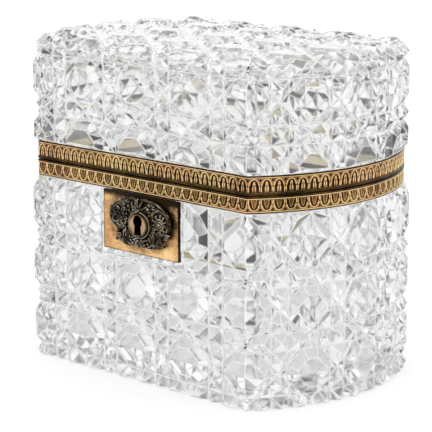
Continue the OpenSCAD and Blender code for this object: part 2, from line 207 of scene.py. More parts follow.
def plan_points(off):
    """The plan's outline, grown by off, anticlockwise from the front left corner."""
    r, h = PLAN_R + off, HALF_DEPTH + off
    end = math.asin(h / r)
    points = []
    for turn in (0, math.pi):
        for k in range(ARC_STEPS + 1):
            a = turn - end + 2 * end * k / ARC_STEPS
            points.append((r * math.cos(a), r * math.sin(a)))
    return points


def loft(name, rings):
    """Closed solid through the plan at each [offset, height] of rings."""
    verts, faces = [], []
    n = len(plan_points(0))
    for off, z in rings:
        verts += [(x, y, z) for x, y in plan_points(off)]
    for j in range(len(rings) - 1):
        for i in range(n):
            k = (i + 1) % n
            faces.append((j * n + i, j * n + k, (j + 1) * n + k, (j + 1) * n + i))
    faces.append(tuple(range(n - 1, -1, -1)))
    faces.append(tuple(range((len(rings) - 1) * n, len(rings) * n)))
    return solid(name, verts, faces)


def prism(p0, p1, inward, over=CUT_OVER):
    """Triangular cutter from p0 to p1 on a face: its point lies CUT_DEEP below the face, along inward."""
    p0, p1, inward = Vector(p0), Vector(p1), Vector(inward).normalized()
    along = (p1 - p0).normalized()
    inward = (inward - along * inward.dot(along)).normalized()
    side = along.cross(inward)
    wide = CUT_HALF * (CUT_DEEP + over) / CUT_DEEP
    section = [-side * wide - inward * over, side * wide - inward * over, inward * CUT_DEEP]
    return [tuple(p0 + s) for s in section] + [tuple(p1 + s) for s in section]


def knives(name, prisms):
    """One mesh of prisms that don't touch."""
    verts, faces = [], []
    for p in prisms:
        k = len(verts)
        verts += p
        faces += [(k, k + 2, k + 1), (k + 3, k + 4, k + 5)]
        faces += [(k + a, k + b, k + b + 3, k + a + 3) for a, b in ((0, 1), (1, 2), (2, 0))]
    return solid(name, verts, faces)


def notch(off, z):
    """The rings of a level cut."""
    return [[off, z - CUT_HALF], [off - CUT_DEEP, z], [off, z + CUT_HALF]]


def gap_lines(pitch, shift=0.0):
    """Places of the paired cuts between the middles of the buttons."""
    middles = [shift + (i + 0.5 - COLUMNS / 2) * pitch for i in range(COLUMNS)]
    return [middle + s * PAIR_GAP / 2 for middle in middles for s in (-1, 1)]


def upright_cuts(bulge, z0, z1):
    """Prisms of the upright pairs on the flat sides and on the bowed ends."""
    out = []
    r, y = PLAN_R + bulge, HALF_DEPTH + bulge
    for x in gap_lines(COL_PITCH, CUT_SHIFT):
        for s in (-1, 1):
            out.append(prism((x, s * y, z0), (x, s * y, z1), (0, -s, 0), PAIR_OVER))
    shift = PAIR_GAP / 2 / r
    for i in range(COLUMNS):
        for g in (-1, 1):
            a = (i + 0.5 - COLUMNS / 2) * COL_ANGLE + g * shift
            for turn in (0, math.pi):
                c, n = math.cos(a + turn), math.sin(a + turn)
                out.append(prism((r * c, r * n, z0), (r * c, r * n, z1), (-c, -n, 0), PAIR_OVER))
    return out


def slants(row_pitch, rows, reach=COLUMNS):
    """The slanting lines from column gap to row gap, as (group, start, end) in half columns and heights."""
    found = set()
    for c in range(-reach, reach + 1, 2):
        for z in rows:
            for sc in (-1, 1):
                for sz in (-1, 1):
                    found.add((c + sc, z, c, z + sz * row_pitch / 2))
    out = []
    for ca, za, cb, zb in sorted(found):
        if ca > cb:
            ca, za, cb, zb = cb, zb, ca, za
        out.append(((zb > za, ca % 2), (ca, za), (cb, zb)))
    return out


def clip(start, end, z0, z1):
    """The part of a slanting line between two heights, a little longer than it need be."""
    (c0, h0), (c1, h1) = start, end
    t = sorted(((z0 - h0) / (h1 - h0), (z1 - h0) / (h1 - h0)))
    lo, hi = max(0.0, t[0]), min(1.0, t[1])
    if hi - lo < SLANT_LEAST:
        return None
    return [(c0 + (c1 - c0) * k, h0 + (h1 - h0) * k) for k in (lo - SLANT_STRETCH, hi + SLANT_STRETCH)]


def wall_slants(bulge, rows, z0, z1):
    """Prisms of the walls' slanting cuts, in groups whose prisms don't touch."""
    groups = {}
    r, y = PLAN_R + bulge, HALF_DEPTH + bulge
    for key, start, end in slants(ROW_PITCH, rows):
        line = clip(start, end, z0, z1)
        if line is None:
            continue
        for s in (-1, 1):
            p = [(CUT_SHIFT + c * COL_PITCH / 2, -s * y, h) for c, h in line]
            groups.setdefault(key, []).append(prism(p[0], p[1], (0, s, 0)))
            if min(start[0], end[0]) < -COLUMNS or max(start[0], end[0]) > COLUMNS:
                continue
            angles = [c * COL_ANGLE / 2 for c, h in line]
            p = [(s * r * math.cos(a), s * r * math.sin(a), h) for a, (c, h) in zip(angles, line)]
            mid = (line[0][0] + line[1][0]) / 2 * COL_ANGLE / 2
            groups.setdefault(key, []).append(prism(p[0], p[1], (-s * math.cos(mid), -s * math.sin(mid), 0)))
    return list(groups.values())


def top_slants():
    """Prisms of the slanting cuts across the lid's top, in groups whose prisms don't touch."""
    groups = {}
    for key, a, b in slants(TOP_PITCH, [k * TOP_PITCH for k in range(-2, 3)], COLUMNS + 2):
        p0 = Vector((CUT_SHIFT + a[0] * COL_PITCH / 2, a[1], HEIGHT))
        p1 = Vector((CUT_SHIFT + b[0] * COL_PITCH / 2, b[1], HEIGHT))
        d = (p1 - p0) * SLANT_STRETCH
        groups.setdefault(key, []).append(prism(p0 - d, p1 + d, (0, 0, -1)))
    return list(groups.values())


def carve(name, rings, cutters, body, replaced):
    """Glass lofted through rings, less all its cutters."""
    obj = link(name, loft(name, rings), body, replaced)
    cut_away(obj, cutters)
    smooth(obj.data, 12)
    return obj


def make_body_glass():
    """The box's glass, with a notch for the lock's case and a flat for its plate."""
    levels = [BODY_GAP_0 + PAIR_GAP / 2]
    for i in (1, 2):
        levels += [BODY_GAP_0 + i * ROW_PITCH - PAIR_GAP / 2, BODY_GAP_0 + i * ROW_PITCH + PAIR_GAP / 2]
    neck_z = BODY_BAND_Z - NECK_CLEAR
    glass_top = RIM_LOW - FRAME_T
    rings = [[BODY_BULGE - FOOT_BEVEL, 0], [BODY_BULGE, FOOT_BEVEL]]
    for z in levels:
        rings += notch(BODY_BULGE, z)
    rings += [[BODY_BULGE, BODY_BAND_Z - BODY_SLOPE_H], [-BAND_SHY, neck_z], [-NECK_IN, neck_z],
              [-NECK_IN, glass_top]]
    rows = [BODY_GAP_0 + (k + 0.5) * ROW_PITCH for k in range(3)]
    back_of_notch = -HALF_DEPTH + WALL_IN + PAST
    cutters = [
        loft("hollow", [[-WALL_IN, FLOOR_T], [-WALL_IN, glass_top + PAST]]),
        knives("uprights", upright_cuts(BODY_BULGE, -PAST, neck_z)),
        *[knives("slants", g) for g in wall_slants(BODY_BULGE, rows, -PAST / 2, neck_z)],
        block("case_notch", (CASE_X0 - NOTCH_PLAY, FAR_FRONT, CASE_Z0 - NOTCH_PLAY),
              (CASE_X1 + NOTCH_PLAY, back_of_notch, FAR_UP)),
        block("plate_recess", (PLATE_X0 - RECESS_PLAY, FAR_FRONT, PLATE_Z0 - RECESS_PLAY),
              (PLATE_X1 + RECESS_PLAY, PLATE_BACK, BODY_BAND_Z)),
    ]
    return carve("cut_glass_body", rings, cutters, "casket", ("crystal_body",))


def make_lid_glass():
    """The lid's glass, cut on its walls and across its top."""
    low = RIM_HIGH + FRAME_T
    neck_z = LID_BAND_TOP + NECK_CLEAR
    rings = [[-NECK_IN, low], [-NECK_IN, neck_z], [-BAND_SHY, neck_z],
             [LID_BULGE, LID_BAND_TOP + LID_SLOPE_H]]
    for z in (LID_GAP_LOW - PAIR_GAP / 2, LID_GAP_LOW + PAIR_GAP / 2, LID_GAP_LOW + ROW_PITCH - PAIR_GAP / 2):
        rings += notch(LID_BULGE, z)
    rings += [[LID_BULGE, HEIGHT - SHOULDER], [LID_BULGE - SHOULDER, HEIGHT]]
    rows = [LID_GAP_LOW + (k - 0.5) * ROW_PITCH for k in range(3)]
    down = (0, 0, -1)
    across = [prism((x, -FAR_Y, HEIGHT), (x, FAR_Y, HEIGHT), down, PAIR_OVER)
              for x in gap_lines(COL_PITCH, CUT_SHIFT)]
    along = [prism((-FAR_X, y, HEIGHT), (FAR_X, y, HEIGHT), down, PAIR_OVER) for y in gap_lines(TOP_PITCH)]
    cutters = [
        loft("hollow", [[-WALL_IN, low - PAST], [-WALL_IN, HOLLOW_TOP]]),
        knives("uprights", upright_cuts(LID_BULGE, neck_z, HEIGHT + PAST)),
        knives("across", across),
        knives("along", along),
        *[knives("slants", g) for g in wall_slants(LID_BULGE, rows, neck_z + PAST / 2, HEIGHT + PAST)],
        *[knives("top_slants", g) for g in top_slants()],
    ]
    return carve("cut_glass_lid", rings, cutters, "lid", LID_GLASS)


glass_body = make_body_glass()
glass_lid = make_lid_glass()


# ---------------------------------------------------------------- rim bands
LEAVES_FLAT = 24
LEAVES_END = 21
LEAF_STEPS = 22
LEAF_ROWS = 26
LEAF_PITCH = 4.5
# Depth of the ground behind the leaves, and how far they rise from it
GROUND_IN = 0.5
RELIEF_DEEP = 0.42
# The rib of a leaf: its half width and height, in shares of the pitch and the field, and half its thickness
RIB = (0.445, 0.93)
RIB_HALF = 0.17
DOT_R = 0.42
# The seam side of a band, from its edge inwards, as (offset, height, tone); its low tones next to the seam
# are partly patina and partly painted shade in the recessed seam
SEAM_MOULDING = [(-BAND_T, 0, 0), (-0.5, 0, 0), (-0.2, 0.06, 0.05), (-0.02, 0.22, 0.15), (0, 0.4, 0.25),
                 (-0.04, 0.56, 0.12), (-0.3, 0.64, 0), (-0.32, 0.72, 0), (-0.06, 0.8, 0.3),
                 (-0.02, 0.92, 0.45), (-0.05, 1.04, 0.3), (-0.42, 1.12, 0.05)]
# Tones, by height, of the body band's fillet, which is lighter than the lid band's
BRIGHT_FILLET = {0.8: 0.8, 0.92: 1.0, 1.04: 0.9}
# The glass side, from the leaves outwards
GLASS_MOULDING = [(-0.36, 0.86, 0.2), (-0.06, 0.8, 0.8), (0, 0.68, 0.9), (0, 0.5, 0.75), (-0.12, 0.4, 0.05),
                  (-0.3, 0.2, 0), (-0.45, 0, 0), (-0.6, 0, 0.9), (-BAND_T, 0, 0.9)]


def rim_path():
    """Points round the plan as (side, share of it, share of a leaf), with whole leaves on every side."""
    out = []
    for side in range(4):
        leaves = LEAVES_END if side % 2 == 0 else LEAVES_FLAT
        n = leaves * LEAF_STEPS
        for k in range(n):
            out.append((side, k / n, k % LEAF_STEPS / LEAF_STEPS))
    return out


def on_rim(side, t, off):
    """Point of the plan grown by off, at share t of one of its sides."""
    r, h = PLAN_R + off, HALF_DEPTH + off
    end = math.asin(h / r)
    turn = 0 if side < 2 else math.pi
    if side % 2 == 0:
        a = turn - end + 2 * end * t
        return r * math.cos(a), r * math.sin(a)
    x = r * math.cos(end) * (1 - 2 * t)
    sign = 1 if side == 1 else -1
    return sign * x, sign * h


def beyond(x, y, half, top, power):
    """About how far a point lies outside an arch of a half width and a height."""
    f = (x / half) ** 2 + (y / top) ** power - 1
    slope = math.hypot(2 * x / half**2, power * (y / top) ** (power - 1) / top)
    return f / max(0.35, slope)


def leaf_relief(share, rise, field, tongue, tones):
    """Height and tone, 0 to 1, of a leaf at a share across it and a rise from its foot.

    From outside inwards: a sunk dot between the tips, the ground, the rib, a groove and the tongue, whose
    edge and middle have the two tones.
    """
    x = abs(share - 0.5) * LEAF_PITCH
    y = rise * field
    rib = beyond(x, y, RIB[0] * LEAF_PITCH, RIB[1] * field, 2.3)
    inner = beyond(x, y, tongue, 0.74 * field, 1.35)
    if math.hypot(x - LEAF_PITCH / 2, y - 0.86 * field) < DOT_R:
        return 0.0, 0.0
    if rib > RIB_HALF:
        return (0.7, 0.5) if rise > 0.5 else (0.4, 0.22)
    if rib > -RIB_HALF:
        return 1.0 - 0.4 * (rib / RIB_HALF) ** 2, 1.0
    if inner > 0.12:
        return 0.0, 0.07
    if inner > -0.2:
        return 0.75, tones[0]
    return 0.4, tones[1]


def rim_band(name, low, high, foot_low, tongue, leaf_tones, bright, body, node):
    """Leaf band between two heights; foot_low says that the leaves' feet are at its lower edge."""
    height = high - low
    field_low, field_high = SEAM_MOULDING[-1][1], height - GLASS_MOULDING[0][1]
    field = field_high - field_low
    sections = [("edge", off, z, bright.get(z, tone)) for off, z, tone in SEAM_MOULDING]
    sections += [("field", None, (k + 0.5) / LEAF_ROWS, None) for k in range(LEAF_ROWS)]
    sections += [("edge", off, height - z, tone) for off, z, tone in GLASS_MOULDING]
    path = rim_path()
    verts, tones = [], []
    for kind, off, z, tone in sections:
        for side, t, share in path:
            if kind == "field":
                rise, tone = leaf_relief(share, z, field, tongue, leaf_tones)
                off, up = RELIEF_DEEP * rise - GROUND_IN, field_low + z * field
            else:
                up = z
            x, y = on_rim(side, t, off)
            verts.append((x, y, low + up if foot_low else high - up))
            tones.append(tone)
    n, m = len(path), len(sections)
    faces = []
    for j in range(m):
        for i in range(n):
            k, l = (i + 1) % n, (j + 1) % m
            faces.append((j * n + i, j * n + k, l * n + k, l * n + i))
    mesh = solid(name, verts, faces)
    attribute = mesh.attributes.new("tone", "FLOAT", "POINT")
    attribute.data.foreach_set("value", tones)
    smooth(mesh, 60)
    return link(name, mesh, body, (node,))


# The body band's tongues get darker tones than the lid band's, as painted shade
body_band = rim_band("leaf_band_body", BODY_BAND_Z, RIM_LOW, False, 0.95, (0.62, 0.3), BRIGHT_FILLET,
                     "casket", "body_band")
lid_band = rim_band("leaf_band_lid", RIM_HIGH, LID_BAND_TOP, True, 0.62, (0.95, 0.42), {},
                    "lid", "lid_band")


# ---------------------------------------------------------------- lock front
CHISEL = random.Random(5)
CHIPS = random.Random(7)
# How far the casting's scrolls lie before the plate, and the middle of its right wheel
CAST_FRONT = 0.9
WHEEL_MIDDLE = (10.4, 2.1)
WHEEL_R = 4.2
# Half axes of the collar, and of the hole for it in the casting
COLLAR_HALF = (4.65, 4.2)
CAST_HOLE = (4.66, 4.22)
HOLE_STEPS = 40
ROPE_HALF = (5.25, 4.75)
ROPE_STRANDS = 44
# The curls of the left wheel: place from its middle, radius, start, turn and thickness
NET_CURLS = [(-0.9, 2.2, 1.5, 0.3, 4.0, 0.4), (1.7, 0.9, 1.3, -2.0, 3.8, 0.42),
             (-1.6, -1.0, 1.25, 1.2, 4.2, 0.36), (0.9, -2.3, 1.2, 2.4, 4.0, 0.38),
             (2.4, 3.1, 0.9, 3.4, 3.6, 0.34)]
# The scrolls round the collar, right half: points of the curve, radius at its start and end, and depth
SCROLLS = [([(1.4, 9.2), (4.6, 10.4), (7.6, 8.4), (5.2, 6.0)], 0.62, 0.4, -0.4),
           ([(3.6, 9.3), (8.8, 9.6), (13.6, 7.4), (15.4, 2.4)], 0.5, 0.6, -0.2),
           ([(10.6, -2.6), (11.6, -6.4), (7.4, -9.6), (2.4, -7.6)], 0.75, 0.5, -0.3),
           ([(7.2, -2.4), (9.2, -6.2), (4.4, -7.6)], 0.5, 0.35, -0.6)]


def tube(points, radii, sides=8):
    """Swept tube with flat ends, through points in millimetres, each with its own radius."""
    verts, faces = [], []
    n = len(points)
    for i, (p, r) in enumerate(zip(points, radii)):
        q0, q1 = points[max(0, i - 1)], points[min(n - 1, i + 1)]
        along = (Vector(q1) - Vector(q0)).normalized()
        out = Vector((0, -1, 0))
        side = along.cross(out).normalized()
        out = side.cross(along).normalized()
        for k in range(sides):
            a = 2 * math.pi * k / sides
            verts.append(tuple(Vector(p) + side * r * math.cos(a) + out * r * math.sin(a)))
    for i in range(n - 1):
        for k in range(sides):
            l = (k + 1) % sides
            faces.append((i * sides + k, i * sides + l, (i + 1) * sides + l, (i + 1) * sides + k))
    faces.append(tuple(range(sides - 1, -1, -1)))
    faces.append(tuple(range((n - 1) * sides, n * sides)))
    return verts, faces


def egg(centre, size, turn=0.0, steps=10):
    """Ellipsoid with half axes size (along, out, across), turned in the plane of the plate."""
    verts, faces = [], []
    ct, st = math.cos(turn), math.sin(turn)
    for j in range(1, steps):
        b = math.pi * j / steps
        for i in range(2 * steps):
            a = math.pi * i / steps
            x = size[0] * math.cos(b)
            y = size[1] * math.sin(b) * math.cos(a)
            z = size[2] * math.sin(b) * math.sin(a)
            verts.append((centre[0] + x * ct - z * st, centre[1] + y, centre[2] + x * st + z * ct))
    n = 2 * steps
    first, last = len(verts), len(verts) + 1
    for s in (1, -1):
        verts.append((centre[0] + s * size[0] * ct, centre[1], centre[2] + s * size[0] * st))
    for j in range(steps - 2):
        for i in range(n):
            k = (i + 1) % n
            faces.append((j * n + i, j * n + k, (j + 1) * n + k, (j + 1) * n + i))
    for i in range(n):
        k = (i + 1) % n
        faces.append((first, k, i))
        faces.append((last, (steps - 2) * n + i, (steps - 2) * n + k))
    return verts, faces


def spiral(centre, start_r, end_r, start_a, turns, tube_0, tube_1, depth, steps=34):
    """Tube wound round a point, coming forward as it goes."""
    points, radii = [], []
    for i in range(steps + 1):
        t = i / steps
        r = start_r + (end_r - start_r) * t**0.85
        a = start_a + turns * 2 * math.pi * t
        points.append((centre[0] + r * math.cos(a), depth - 0.5 * t, centre[1] + r * math.sin(a)))
        radii.append(tube_0 + (tube_1 - tube_0) * t)
    return tube(points, radii)


def sweep(points, r0, r1, depth, steps=18):
    """Tapered tube along a Bezier curve of three or four points."""
    pts, radii = [], []
    for i in range(steps + 1):
        t = i / steps
        if len(points) == 3:
            w = ((1 - t) ** 2, 2 * t * (1 - t), t * t)
        else:
            w = ((1 - t) ** 3, 3 * t * (1 - t) ** 2, 3 * t * t * (1 - t), t**3)
        x = sum(k * p[0] for k, p in zip(w, points))
        z = sum(k * p[1] for k, p in zip(w, points))
        pts.append((x, depth, z))
        radii.append((r0 + (r1 - r0) * t) * (0.55 + 0.45 * math.sin(math.pi * min(1, t * 1.4 + 0.25))))
    return tube(pts, radii)


def fan(centre, reach, middle, spread, count, size, depth):
    """Thin leaves set like a fan round a point, none quite like the next."""
    out = []
    for k in range(count):
        a = middle + spread * (k / (count - 1) - 0.5) + CHISEL.uniform(-0.1, 0.1)
        far, long = reach * CHISEL.uniform(0.88, 1.08), size[0] * CHISEL.uniform(0.75, 1.15)
        y = depth + CHISEL.uniform(-0.15, 0.2)
        place = (centre[0] + far * math.cos(a), y, centre[1] + far * math.sin(a))
        wide = size[2] * CHISEL.uniform(0.9, 1.3)
        out.append(egg(place, (long, size[1], wide), a + CHISEL.uniform(-0.25, 0.25)))
    return out


def curl(x, z, r, start, turn, thick, depth, steps=14):
    """Open ring, thickest in its middle."""
    points, radii = [], []
    for k in range(steps + 1):
        a = start + turn * k / steps
        points.append((x + r * math.cos(a), depth, z + r * math.sin(a)))
        radii.append(thick * (0.55 + 0.45 * math.sin(math.pi * k / steps)))
    return tube(points, radii)


def netting(x, z, depth):
    """Curls on a ground of small beads."""
    out = [curl(x + dx, z + dz, *shape, depth - 0.75) for dx, dz, *shape in NET_CURLS]
    for _ in range(60):
        a, r = CHISEL.uniform(0, 2 * math.pi), WHEEL_R * math.sqrt(CHISEL.random())
        place = (x + r * math.cos(a), depth - 0.35, z + r * math.sin(a))
        out.append(egg(place, (0.34, 0.4, 0.2), CHISEL.uniform(0, math.pi)))
    return out


def rosette(x, z, depth):
    """Eleven petals round two rings and a bead."""
    out = fan((x, z), 3.1, math.pi / 2, 2 * math.pi * 10 / 11, 11, (1.0, 0.75, 0.4), depth - 0.25)
    for r, thick in ((1.1, 0.26), (2.05, 0.3)):
        out.append(curl(x, z, r, 0, 2 * math.pi, thick, depth - 0.7))
    out.append(egg((x, depth - 0.8, z), (0.55, 0.6, 0.55)))
    return out


def wheel(s, depth):
    """One of the round side scrolls: netting at the left, a rosette at the right."""
    x, z = s * WHEEL_MIDDLE[0], WHEEL_MIDDLE[1]
    out = [egg((x, depth + 0.9, z), (4.7, 1.5, 4.9))]
    out += netting(x, z, depth) if s < 0 else rosette(x + 0.2, z - 0.5, depth)
    out.append(spiral((x, z), 4.55, 4.3, math.pi * (0.5 + s * 0.32), -s * 0.78, 0.62, 0.42, depth - 0.1))
    return out


def side_scrolls(s, face):
    """One half of the casting, left or right: its wheel, scrolls, beads, leaves and small chips."""
    out = wheel(s, face)
    out.append(egg((s * 6.6, face + 0.8, -5.0), (4.3, 1.4, 3.0), s * 0.5))
    for points, r0, r1, depth in SCROLLS:
        out.append(sweep([(s * x, z) for x, z in points], r0, r1, face + depth))
    out.append(egg((s * 5.0, face - 0.7, 6.6), (0.75, 0.75, 0.75)))
    out.append(egg((s * 3.0, face - 0.7, -7.0), (0.65, 0.65, 0.65)))
    out += fan((s * 8.2, -4.6), 2.1, -math.pi / 2 + s * 0.7, 1.9, 6, (1.1, 0.75, 0.3), face - 0.55)
    if s > 0:
        out += fan((13.1, -1.6), 1.2, -math.pi / 2 + 0.75, 1.6, 4, (1.3, 0.7, 0.34), face - 0.35)
    out += fan((s * 6.2, 7.0), 1.2, math.pi / 2 - s * 0.4, 2.4, 5, (1.0, 0.7, 0.28), face - 0.4)
    for _ in range(16):
        a = CHIPS.uniform(-1.2, 1.2)
        r = CHIPS.uniform(5.6, 7.6)
        place = (s * r * math.cos(a) * 1.25, face - 0.2, r * math.sin(a))
        size = (CHIPS.uniform(0.35, 0.7), 0.7, CHIPS.uniform(0.2, 0.32))
        out.append(egg(place, size, CHIPS.uniform(0, 3.1)))
    return out


def crest_and_foot(face):
    """The shell above the collar and the leaf below it."""
    out = fan((0, 4.6), 3.3, math.pi / 2, 2.2, 9, (1.9, 0.95, 0.36), face - 0.4)
    out += fan((0, -4.6), 2.4, -math.pi / 2, 2.3, 9, (1.6, 0.85, 0.34), face - 0.4)
    out.append(egg((0, face - 0.9, 5.6), (0.9, 0.8, 0.6)))
    out.append(egg((0, face - 0.9, -5.7), (0.8, 0.8, 0.6)))
    return out


def rope(face):
    """Twisted rope round the collar."""
    out = []
    for k in range(ROPE_STRANDS):
        a = 2 * math.pi * k / ROPE_STRANDS
        place = (ROPE_HALF[0] * math.cos(a), face - 0.35, ROPE_HALF[1] * math.sin(a))
        out.append(egg(place, (0.55, 0.6, 0.27), a + 0.9))
    return out


def collar_core():
    """Cutter for the casting's oval hole."""
    n = HOLE_STEPS
    front, back = FAR_FRONT, -40
    turns = [2 * math.pi * k / n for k in range(n)]
    hole = [(LOCK_X + CAST_HOLE[0] * math.cos(a), LOCK_Z + CAST_HOLE[1] * math.sin(a)) for a in turns]
    verts = [(x, y, z) for y in (front, back) for x, z in hole]
    sides = [(k, (k + 1) % n, (k + 1) % n + n, k + n) for k in range(n)]
    return solid("core", verts, sides + [tuple(range(n - 1, -1, -1)), tuple(range(n, 2 * n))])


def rocaille():
    """Cast scrolls and leaves round the keyhole, fused into one skin and trimmed to the plate and collar."""
    face = PLATE_FRONT - CAST_FRONT
    parts = [egg((0, face + 0.9, 6.4), (5.6, 1.5, 3.2)), egg((0, face + 0.9, -6.0), (6.4, 1.4, 2.6))]
    for s in (-1, 1):
        parts += side_scrolls(s, face)
    parts += crest_and_foot(face) + rope(face)
    verts, faces = [], []
    for v, f in parts:
        k = len(verts)
        verts += [(x + LOCK_X, y, z + LOCK_Z) for x, y, z in v]
        faces += [tuple(i + k for i in q) for q in f]
    obj = link("rocaille", solid("rocaille", verts, faces), "casket", ("escutcheon",))
    mod = obj.modifiers.new("fuse", "REMESH")
    mod.mode = "VOXEL"
    mod.voxel_size = 0.17 * MM
    apply_modifiers(obj)
    cut_away(obj, [collar_core(), block("back", (-40, PLATE_FRONT, 30), (40, -30, 90))])
    smooth(obj.data, 60)
    return obj


def softened(name, node, body, width):
    """A CAD node's own shape with its edges rubbed round."""
    mesh = copy_of(name, node)
    bm = bmesh.new()
    bm.from_mesh(mesh)
    bmesh.ops.remove_doubles(bm, verts=bm.verts, dist=1e-6)
    bmesh.ops.dissolve_limit(bm, angle_limit=math.radians(1), verts=bm.verts, edges=bm.edges)
    bm.to_mesh(mesh)
    bm.free()
    obj = link(name, mesh, body, (node,))
    mod = obj.modifiers.new("edge", "BEVEL")
    mod.width = width * MM
    mod.segments = 2
    mod.limit_method = "ANGLE"
    mod.angle_limit = math.radians(35)
    mod.use_clamp_overlap = True
    apply_modifiers(obj)
    smooth(obj.data, 40)
    return obj


casting = rocaille()
plate = softened("plate", "lock_plate", "casket", 0.18)
collar = softened("collar", "keyhole_collar", "casket", 0.3)


# ---------------------------------------------------------------- materials
def new_material(name):
    mat = bpy.data.materials.new(name)
    mat.use_nodes = True
    tree = mat.node_tree
    return mat, tree, tree.nodes["Principled BSDF"]


def put(obj, mat):
    obj.data.materials.clear()
    obj.data.materials.append(mat)


def object_place(tree):
    return tree.nodes.new("ShaderNodeTexCoord").outputs["Object"]


def axes(tree, place):
    """The X, Y and Z of a place."""
    split = tree.nodes.new("ShaderNodeSeparateXYZ")
    tree.links.new(place, split.inputs[0])
    return split.outputs


def ramp(tree, source, stops):
    """Colour by a value, through stops of (value, colour)."""
    node = tree.nodes.new("ShaderNodeValToRGB")
    elements = node.color_ramp.elements
    while len(elements) < len(stops):
        elements.new(0.5)
    for e, (position, colour) in zip(elements, stops):
        e.position = position
        e.color = (*colour, 1)
    tree.links.new(source, node.inputs["Fac"])
    return node.outputs["Color"]


def noise(tree, place, scale, detail=5, rough=0.6):
    node = tree.nodes.new("ShaderNodeTexNoise")
    node.inputs["Scale"].default_value = scale
    node.inputs["Detail"].default_value = detail
    node.inputs["Roughness"].default_value = rough
    tree.links.new(place, node.inputs["Vector"])
    return node.outputs["Fac"]


def maths(tree, operation, a, b=None):
    """Result of a Math node; a and b are sockets or numbers."""
    node = tree.nodes.new("ShaderNodeMath")
    node.operation = operation
    for socket, value in zip(node.inputs, (a, b)):
        if isinstance(value, (int, float)):
            socket.default_value = value
        elif value is not None:
            tree.links.new(value, socket)
    return node.outputs[0]


def total(tree, *values):
    """Sum of sockets."""
    value = values[0]
    for other in values[1:]:
        value = maths(tree, "ADD", value, other)
    return value


def swing(tree, value, size):
    """A value of 0 to 1 turned into one that swings round 0 by half a size."""
    return maths(tree, "MULTIPLY", maths(tree, "SUBTRACT", value, 0.5), size)


def map_range(tree, value, low, high, out_low, out_high):
    node = tree.nodes.new("ShaderNodeMapRange")
    for name, v in (("From Min", low), ("From Max", high), ("To Min", out_low), ("To Max", out_high)):
        node.inputs[name].default_value = v
    tree.links.new(value, node.inputs["Value"])
    return node.outputs["Result"]


def steps_up(tree, value, low, high, top=1.0):
    """0 up to low, top from high on."""
    return map_range(tree, value, low, high, 0.0, top)


def inside(tree, place, low, high, blur=0.2):
    """1 within a box in millimetres, 0 outside it."""
    value = None
    for axis, a, b in zip(axes(tree, place), low, high):
        part = maths(tree, "MULTIPLY", steps_up(tree, axis, (a - blur) * MM, a * MM),
                     steps_up(tree, axis, (b + blur) * MM, b * MM))
        value = part if value is None else maths(tree, "MULTIPLY", value, part)
    return value


# ---------------------------------------------------------------- glass look
CRYSTAL_TINT = (0.976, 0.98, 0.978)
WHITE = (1, 1, 1)
# Width of the ground edges in metres, and the cosines between which they turn clear; their white is partly
# ground glass and partly painted highlight
EDGE_R = 0.0008
EDGE_COSINES = (0.965, 0.9985)
EDGE_CLEAR, FACE_CLEAR = 0.05, 0.95


def crystal_material():
    """Clear lead crystal; its edges are painted white and opaque as fine lines, partly the white of ground
    edges and partly a painted highlight where rounded edges catch the light.
    """
    mat, tree, bsdf = new_material("crystal")
    bsdf.inputs["Roughness"].default_value = 0.035
    bsdf.inputs["IOR"].default_value = 1.54
    bsdf.inputs["Transmission Weight"].default_value = FACE_CLEAR
    rounded = tree.nodes.new("ShaderNodeBevel")
    rounded.samples = 4
    rounded.inputs["Radius"].default_value = EDGE_R
    flat = tree.nodes.new("ShaderNodeNewGeometry")
    cosine = tree.nodes.new("ShaderNodeVectorMath")
    cosine.operation = "DOT_PRODUCT"
    tree.links.new(rounded.outputs["Normal"], cosine.inputs[0])
    tree.links.new(flat.outputs["Normal"], cosine.inputs[1])
    clear = map_range(tree, cosine.outputs["Value"], *EDGE_COSINES, EDGE_CLEAR, FACE_CLEAR)
    tree.links.new(clear, bsdf.inputs["Transmission Weight"])
    # White at the edges: partly ground glass, partly painted highlight
    tree.links.new(ramp(tree, clear, [(0.25, WHITE), (0.88, CRYSTAL_TINT)]), bsdf.inputs["Base Color"])
    return mat


